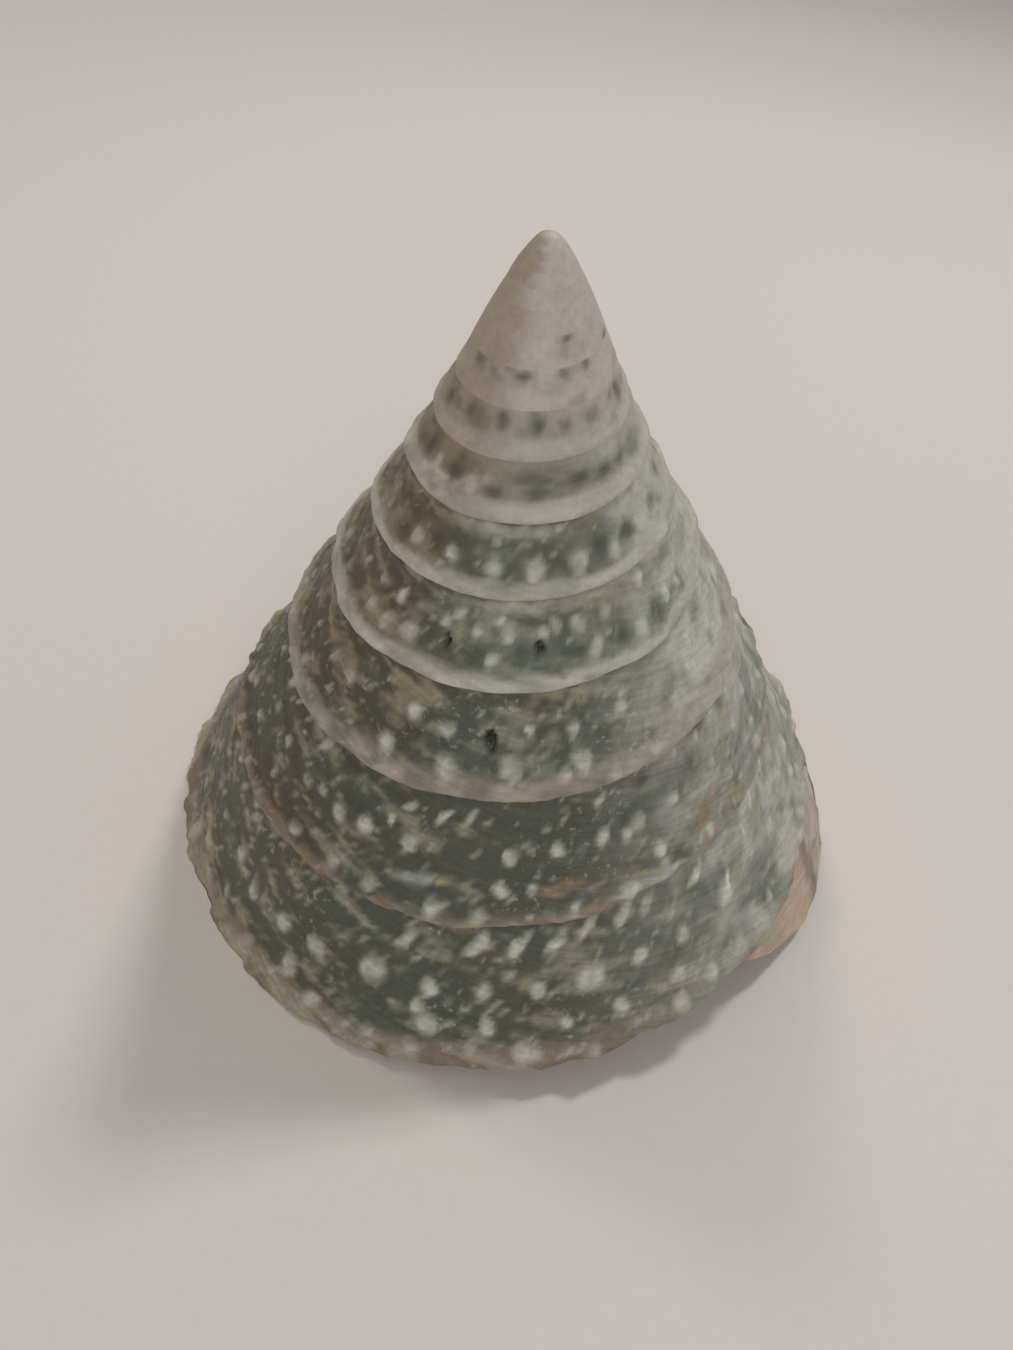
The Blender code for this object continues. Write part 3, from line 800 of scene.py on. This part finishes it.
def add_pillar(grid, base_columns, front):
    """The end of the pillar, which the last whorl winds round."""
    inner = [column[-1][0] for column in base_columns]
    low, high = grid.points[inner[-1]][2], grid.points[inner[0]][2]
    tip = grid.vertex(0.0, 1.0, (0.0, 0.0, high + (low - high) * PILLAR_TIP_DROP))
    ring = inner + [front]
    for n, vertex in enumerate(ring):
        grid.face([tip, vertex, ring[(n + 1) % len(ring)]], look=UNDERSIDE)


def blend(first, second, amount):
    """Mixes two colours, or fields of colour, by an amount at each place."""
    first, second = np.asarray(first), np.asarray(second)
    return first + (second - first) * np.clip(amount, 0, 1)[:, None]


def lip_colours(surface, tint):
    """The smooth margin before the lip: olive-cream, then rusty and greenish towards the seam."""
    turn, share = surface.turn, surface.share
    uneven = turn + 0.008 * surface.cloud(0.003, 0.002, seed=91)
    start = LIP_TURN_AT_EDGE + lip_lead(share) - along_pairs(share, LIP_MARGIN_REACH)
    margin = smooth_step(uneven, start - LIP_MARGIN_BLUR, start + LIP_MARGIN_BLUR)
    mottled = surface.cloud(0.0022, 0.0016, seed=93)
    brown = smooth_step(uneven, *LIP_BROWN_FROM) * (1 - smooth_step(uneven, *LIP_BROWN_TO))
    rusty = smooth_step(uneven, *LIP_RUST_FROM) * (0.8 + 0.5 * mottled)
    greenish = smooth_step(uneven, *LIP_GREEN_FROM)
    to_lip = (LIP_TURN_AT_EDGE + lip_lead(share) - turn) * 2 * math.pi * edge_radius(turn)
    colour = blend(PALETTE["olive_cream"], PALETTE["tan"], 0.5 + mottled)
    colour = blend(colour, PALETTE["brown"], brown)
    colour = blend(colour, PALETTE["rust"], rusty)
    colour = blend(colour, PALETTE["yellow_green"], greenish)
    colour = blend(colour, PALETTE["rust"], greenish * (1 - smooth_step(to_lip, *LIP_RUSTY_RIM)))
    return blend(tint, colour, 0.95 * margin)


class Mottling:
    """The uneven fields that the colours of the outside share."""

    def __init__(self, surface):
        self.coarse = 0.7 * surface.cloud(0.0045, 0.003, seed=51, octaves=2)
        self.mottled = surface.cloud(0.0017, 0.0013, seed=54)
        self.brushed = surface.brushed(0.0024, 0.0016, seed=61)
        self.fine = surface.cloud(0.0006, 0.0005, seed=65, octaves=2)
        self.around = surface.turn % 1.0
        self.left = smooth_step(self.around, 0.24, 0.42) * (1 - smooth_step(self.around, 0.66, 0.85))
        self.right = 1 - smooth_step(np.minimum(self.around, 1 - self.around), 0.05, 0.21)


def dark_ground(turn, fields, cool):
    """The dark green of the whorls, more olive at the left, where the warmer tone is painted shade."""
    deep = blend(PALETTE["deep_olive"], PALETTE["deep_green"], cool) * along_pairs(turn, DARK_VALUE)[:, None]
    paler = 1 + 0.3 * np.maximum(fields.left, fields.right) * smooth_step(turn, 4.4, 4.8)
    return deep * paler[:, None]


def mottled_ground(turn, fields, cool, deep):
    """Dark ground and paler clouds over each other, under a paler grey at the right: partly the shell's own
    grey, partly painted light where the right side is lit more.
    """
    light = blend(PALETTE["light_brown"], PALETTE["light_green"], cool)
    light = light * (1 + 0.2 * fields.left * smooth_step(turn, 4.2, 4.6))[:, None]
    value = 0.35 * fields.coarse + 0.5 * fields.mottled + 0.6 * fields.brushed + 0.25 * fields.fine
    darkness = along_pairs(turn, DARKNESS)
    tint = blend(light, deep, smooth_step(value + (darkness - 0.5) * 1.1, -0.26, 0.30))
    # Painted light: the right side is greyed and lightened, partly the shell's own grey, partly the stronger
    # light from the right
    grey_and_painted_light = fields.right * along_pairs(turn, RIGHT_GREY_AND_PAINTED_LIGHT)
    return blend(tint, PALETTE["grey"], grey_and_painted_light * (0.75 + 0.9 * fields.mottled))


def bare_ground(surface, fields):
    """The worn shell of the tip, a little stained, with warmer clouds and painted warm shade at the left."""
    # Painted shade: the side of the tip away from the right lamps is painted warmer and darker tan
    start = smooth_step(fields.around + 0.1 * fields.coarse, 0.2, 0.36)
    shade_and_warm_clouds = start * (1 - smooth_step(fields.around, 0.75, 0.9)) + 0.5 * surface.cloud(0.0022, 0.0016, seed=57)
    stains = smooth_step(surface.cloud(0.0012, 0.0009, seed=59), 0.12, 0.5)
    stained = 0.5 * stains * smooth_step(surface.turn, -4.0, -1.0)
    return blend(blend(PALETTE["pink_grey"], PALETTE["tan"], shade_and_warm_clouds), PALETTE["brown"], stained)


def band_colours(turn, fields):
    """The band along the lower edge: pale cream on the upper whorls, tan and brown on the lower ones."""
    pinkish = smooth_step(turn + 0.3 * fields.coarse, 2.5, 3.1) + 0.5 * fields.left
    young = blend(PALETTE["pale_green"], PALETTE["pink_cream"], pinkish)
    shaded = young * along_pairs(turn, BAND_SHADE)[:, None]
    young = blend(1.12 * young, shaded, 0.45 + 1.2 * fields.mottled)
    brown = smooth_step(fields.mottled + 0.5 * fields.brushed, -0.05, 0.25)
    old = blend(PALETTE["tan"], PALETTE["brown"], brown)
    return blend(young, old, smooth_step(turn, 3.6, 4.0))


def paint(surface, beads, spots, specks):
    """The colour of the outside at every place."""
    turn, share = surface.turn, surface.share
    fields = Mottling(surface)
    # Less cool at the left: painted warm shade on the shell's left side, with random variation from the coarse
    # clouds
    cool = np.clip(0.7 - fields.left * along_pairs(turn, LEFT_WARM_PAINTED_SHADE) + 0.6 * fields.coarse, 0, 1)
    deep = dark_ground(turn, fields, cool)
    tint = mottled_ground(turn, fields, cool, deep)
    bleached = BLEACHED_MOST * (1 - smooth_step(turn + 0.5 * fields.mottled, *BLEACHED_UNTIL))
    bare = bare_ground(surface, fields)
    tint = blend(tint, bare, bleached)
    start = along_pairs(turn, BAND_START)
    band = smooth_step(share + 0.11 * fields.mottled + 0.03 * fields.brushed, start - 0.05, start + 0.06)
    band_colour = blend(band_colours(turn, fields), bare, bleached)
    tint = blend(tint, band_colour, band * along_pairs(turn, BAND_STRENGTH))
    washes = [(*spot[:2], spot[2] * 1.9, spot[3] * 1.7, *spot[4:]) for spot in spots]
    tint = blend(tint, deep * 1.7, 0.55 * surface.ovals(washes, rim=0.1))
    tint = blend(tint, deep * 0.9, 0.9 * surface.ovals(spots, rim=0.2))
    for name, *places in PATCHES:
        patch = np.array(PALETTE[name]) * (1 + 0.5 * fields.fine[:, None])
        for place in in_metres(places):
            tint = blend(tint, patch, surface.ovals([place], rim=0.3))
    tint = blend(tint, PALETTE["pale_green"], 0.85 * surface.ovals(specks, rim=0.1))
    dusty = blend(PALETTE["pale"], PALETTE["pink_cream"], 0.6 * fields.left + 0.6 * (band > 0.4))
    bead = surface.ovals(beads, rim=0.3)
    tint = blend(tint, dusty, along_pairs(turn, BEAD_PALENESS) * bead * (0.85 + 0.5 * fields.fine))
    tint = lip_colours(surface, tint)
    # Painted shade: the pits are darkened almost to black, as their hollows lie in shade
    tint = blend(tint, PALETTE["pit"], surface.ovals(pit_ovals(), rim=0.55))
    return np.clip(tint, 0.01, 0.9)


def face_outward(mesh):
    """Turns every face of the closed mesh outward. The corners keep their colours."""
    shaped = bmesh.new()
    shaped.from_mesh(mesh)
    bmesh.ops.recalc_face_normals(shaped, faces=shaped.faces)
    shaped.to_mesh(mesh)
    shaped.free()


def make_mesh():
    """The whole shell, still upright on its own axis, with its colours."""
    grid = Grid()
    beads, spots, specks = make_beads(), make_spots(), make_specks()
    turns, edge, seam_index, last_side = add_side(grid)
    columns = add_base(grid, turns, edge, seam_index)
    front = add_mouth(grid, turns, edge, seam_index, last_side, columns)
    add_pillar(grid, columns, front)
    surface = Surface(np.array(grid.turns), np.array(grid.shares))
    plain = side_section(surface.turn, surface.share)
    lift = side_lift(surface, beads)
    side = to_space(plain + lift[:, None] * outward(surface.turn), surface.turn)
    given = np.array([point is not None for point in grid.points])
    side[given] = [point for point in grid.points if point is not None]
    mesh = bpy.data.meshes.new("top_shell")
    mesh.from_pydata(side.tolist(), [], grid.faces)
    corners = Surface(np.array(grid.corner_turns), np.array(grid.corner_shares))
    tint = mesh.attributes.new("tint", "FLOAT_COLOR", "CORNER")
    colours = np.ones((len(corners.turn), 4), dtype=np.float32)
    colours[:, :3] = paint(corners, beads, spots, specks)
    tint.data.foreach_set("color", colours.ravel())
    for name in ("turn", "share", "grown", "down"):
        layer = mesh.attributes.new(name, "FLOAT", "CORNER")
        layer.data.foreach_set("value", getattr(corners, name).astype(np.float32))
    mesh.polygons.foreach_set("material_index", np.array(grid.looks, dtype=np.int32))
    face_outward(mesh)
    mesh.shade_smooth()
    return mesh


class Nodes:
    """Short names for the nodes of one material. Each value is a plain one or another node's output."""

    def __init__(self, name):
        self.material = bpy.data.materials.new(name)
        self.material.use_nodes = True
        self.tree = self.material.node_tree
        self.shader = self.tree.nodes["Principled BSDF"]

    def link(self, value, socket):
        if isinstance(value, bpy.types.NodeSocket):
            self.tree.links.new(value, socket)
        else:
            socket.default_value = value

    def new(self, kind, *values, **named):
        node = self.tree.nodes.new("ShaderNode" + kind)
        for value, socket in zip(values, node.inputs):
            self.link(value, socket)
        for name, value in named.items():
            self.link(value, node.inputs[name])
        return node

    def attribute(self, name, output="Fac"):
        node = self.new("Attribute")
        node.attribute_name = name
        return node.outputs[output]

    def math(self, operation, *values):
        node = self.new("Math", *values)
        node.operation = operation
        return node.outputs[0]

    def vector(self, x, y, z=0.0):
        return self.new("CombineXYZ", x, y, z).outputs[0]

    def place(self):
        return self.new("TexCoord").outputs["Object"]

    def noise(self, vector, scale, detail=3.0, roughness=0.5, distortion=0.0):
        look = {"Scale": scale, "Detail": detail, "Roughness": roughness, "Distortion": distortion}
        return self.new("TexNoise", Vector=vector, **look).outputs["Fac"]

    def step(self, value, low, high, least=0.0, most=1.0):
        node = self.new("MapRange", value, low, high, least, most)
        node.interpolation_type = "SMOOTHSTEP"
        return node.outputs[0]

    def mix(self, share, first, second, kind="MIX"):
        node = self.new("Mix", share)
        node.data_type = "RGBA"
        node.blend_type = kind
        self.link(first, node.inputs[6])
        self.link(second, node.inputs[7])
        return node.outputs[2]

    def bump(self, height, distance):
        return self.new("Bump", Distance=distance, Strength=1.0, Height=height).outputs[0]


def colour(red, green, blue):
    return (red, green, blue, 1.0)


def outside_look():
    """The painted colours, with fine streaks along the growth lines, grain and pale flecks."""
    n = Nodes("shell_outside")
    across_lines = n.math("MULTIPLY", n.attribute("grown"), 900.0)
    along_lines = n.math("MULTIPLY", n.attribute("down"), 700.0)
    streaks = n.noise(n.vector(across_lines, along_lines), scale=1.0, roughness=0.6)
    grain = n.noise(n.place(), scale=2400.0, roughness=0.6)
    flecks = n.noise(n.place(), scale=2000.0, detail=2.0)
    fleck_fields = n.noise(n.place(), scale=160.0, detail=2.0)
    age = n.step(n.attribute("turn"), -1.0, 4.0)
    streaked = n.math("MULTIPLY", n.math("SUBTRACT", streaks, 0.5), n.math("MULTIPLY", age, 0.85))
    grained = n.math("MULTIPLY", n.math("SUBTRACT", grain, 0.5), 0.5)
    factor = n.math("ADD", n.math("ADD", streaked, grained), 1.0)
    surface = n.mix(1.0, n.attribute("tint", "Color"), n.vector(factor, factor, factor), "MULTIPLY")
    fleck_strength = n.math("MULTIPLY", age, n.step(fleck_fields, 0.48, 0.64, least=0.03, most=0.3))
    fleck = n.math("MULTIPLY", n.step(flecks, 0.60, 0.70), fleck_strength)
    surface = n.mix(fleck, surface, colour(*PALETTE["pale"]))
    n.link(surface, n.shader.inputs["Base Color"])
    n.link(n.step(grain, 0.3, 0.7, least=0.42, most=0.62), n.shader.inputs["Roughness"])
    streak_height = n.math("MULTIPLY", streaks, n.math("MULTIPLY", age, 0.7))
    height = n.math("ADD", streak_height, n.math("MULTIPLY", grain, 0.4))
    n.link(n.bump(height, distance=0.00012), n.shader.inputs["Normal"])
    return n.material


def underside_look():
    """Cream with darker rays across the base's cords, also on the rim of the lip."""
    n = Nodes("shell_underside")
    mottle = n.noise(n.place(), scale=500.0, detail=4.0, roughness=0.6)
    around = n.math("MULTIPLY", n.attribute("turn"), 60.0)
    rays = n.noise(n.vector(around, n.attribute("share")), scale=1.0)
    pale = n.mix(n.step(mottle, 0.35, 0.65), colour(0.42, 0.38, 0.30), colour(0.55, 0.51, 0.43))
    surface = n.mix(n.step(rays, 0.5, 0.65), pale, colour(0.17, 0.15, 0.09))
    n.link(surface, n.shader.inputs["Base Color"])
    n.shader.inputs["Roughness"].default_value = 0.5
    n.link(n.bump(mottle, distance=0.0001), n.shader.inputs["Normal"])
    return n.material


def inside_look():
    """Mother of pearl, in soft pink, green and blue bands."""
    n = Nodes("shell_nacre")
    bands = n.noise(n.place(), scale=160.0, detail=2.0, distortion=1.5)
    pearl = n.mix(n.step(bands, 0.38, 0.5), colour(0.66, 0.60, 0.58), colour(0.60, 0.66, 0.58))
    pearl = n.mix(n.step(bands, 0.52, 0.64), pearl, colour(0.58, 0.62, 0.68))
    n.link(pearl, n.shader.inputs["Base Color"])
    n.shader.inputs["Roughness"].default_value = 0.22
    return n.material


def add_object(name, data):
    made = bpy.data.objects.new(name, data)
    bpy.context.scene.collection.objects.link(made)
    return made


def stand():
    """Leans the shell like the solid, with its tip at the solid's."""
    towards = math.radians(LEAN_TOWARDS_DEG)
    axis = Vector((0, 0, 1)).cross(Vector((math.cos(towards), math.sin(towards), 0)))
    lean = Matrix.Rotation(math.radians(LEAN_DEG), 4, axis)
    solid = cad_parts["shell"]
    tip = max((vertex.co for vertex in solid.data.vertices), key=lambda place: place.z)
    own_tip = Vector((0, 0, float(cone_height(0.0))))
    return Matrix.Translation(tip) @ lean @ Matrix.Translation(-own_tip)


def flatten_below_ground(mesh):
    """Wears the edge flat where it stands on the ground."""
    count = len(mesh.vertices)
    places = np.empty(count * 3)
    mesh.vertices.foreach_get("co", places)
    places = places.reshape(-1, 3)
    places[:, 2] = np.maximum(places[:, 2], GROUND_CLEARANCE)
    mesh.vertices.foreach_set("co", places.ravel())


FLOOR_REACH = 1.5

# Soft lamps: name, place and aim in metres, size, power, colour
LIGHTS = (
    ("key_right_back", (0.15, 0.17, 0.39), (0, 0, 0.01), 0.06, 0.64, (1.0, 0.98, 0.99)),
    ("key_left_back", (-0.17, 0.20, 0.40), (0, 0, 0.01), 0.08, 0.30, (1.0, 0.92, 0.84)),
    ("fill_front", (-0.02, -0.5, 0.27), (0, 0, 0.02), 0.4, 0.85, (1.0, 0.97, 0.93)),
)

# The camera, fitted to the photo: angles in radians, lengths in edge radii, in the upright shell's own frame
CAMERA_ELEVATION = 0.910948
CAMERA_ROLL = 0.0663
CAMERA_AIM = (-0.028431, 0.36717)
CAMERA_DISTANCE = 3.172161
CAMERA_LENS = 36.0 * 1014 / 1350


def add_camera(stance):
    """The camera that took the photo."""
    back = Vector((0, -math.cos(CAMERA_ELEVATION), math.sin(CAMERA_ELEVATION)))
    right = Vector((1, 0, 0))
    up = back.cross(right)
    roll_cos, roll_sin = math.cos(CAMERA_ROLL), math.sin(CAMERA_ROLL)
    across, upward = roll_cos * right + roll_sin * up, roll_cos * up - roll_sin * right
    aim = Vector((CAMERA_AIM[0], 0, CAMERA_AIM[1]))
    place = EDGE_RADIUS * (aim + CAMERA_DISTANCE * back)
    turned = Matrix((across, upward, back)).transposed().to_4x4()
    data = bpy.data.cameras.new("camera")
    data.lens = CAMERA_LENS
    data.sensor_width = 36.0
    data.clip_start = 0.001
    data.clip_end = 5.0
    camera = add_object("camera", data)
    camera.matrix_world = stance @ Matrix.Translation(place) @ turned
    bpy.context.scene.camera = camera


def add_light(name, place, aim, size, power, tint):
    data = bpy.data.lights.new(name, "AREA")
    data.shape = "DISK"
    data.size = size
    data.energy = power
    data.color = tint
    light = add_object(name, data)
    light.location = place
    light.rotation_mode = "QUATERNION"
    light.rotation_quaternion = (Vector(place) - Vector(aim)).to_track_quat("Z", "Y")


def add_floor():
    """A sheet of pale paper."""
    mesh = bpy.data.meshes.new("floor")
    corners = [(x * FLOOR_REACH, y * FLOOR_REACH, 0) for x, y in ((-1, -1), (1, -1), (1, 1), (-1, 1))]
    mesh.from_pydata(corners, [], [(0, 1, 2, 3)])
    floor = add_object("floor", mesh)
    n = Nodes("floor_paper")
    paper = n.noise(n.place(), scale=900.0, roughness=0.6)
    pale = n.mix(paper, colour(0.70, 0.655, 0.61), colour(0.74, 0.695, 0.65))
    n.link(pale, n.shader.inputs["Base Color"])
    n.shader.inputs["Roughness"].default_value = 0.85
    mesh.materials.append(n.material)


def add_surroundings():
    """The floor and a soft, pale studio."""
    add_floor()
    world = bpy.data.worlds.new("studio")
    world.use_nodes = True
    backdrop = world.node_tree.nodes["Background"]
    backdrop.inputs["Color"].default_value = colour(0.97, 0.95, 0.96)
    backdrop.inputs["Strength"].default_value = 0.31
    bpy.context.scene.world = world
    bpy.context.scene.view_settings.view_transform = "Standard"
    for name, *light in LIGHTS:
        add_light(name, *light)


def make_shell():
    """The dressed shell in place of the solid. Returns how it stands."""
    mesh = make_mesh()
    stance = stand()
    mesh.transform(stance)
    flatten_below_ground(mesh)
    for look in (outside_look(), underside_look(), inside_look()):
        mesh.materials.append(look)
    shell = add_object("top_shell", mesh)
    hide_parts("shell")
    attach(shell, "root")
    return stance


stance = make_shell()
add_camera(stance)
add_surroundings()
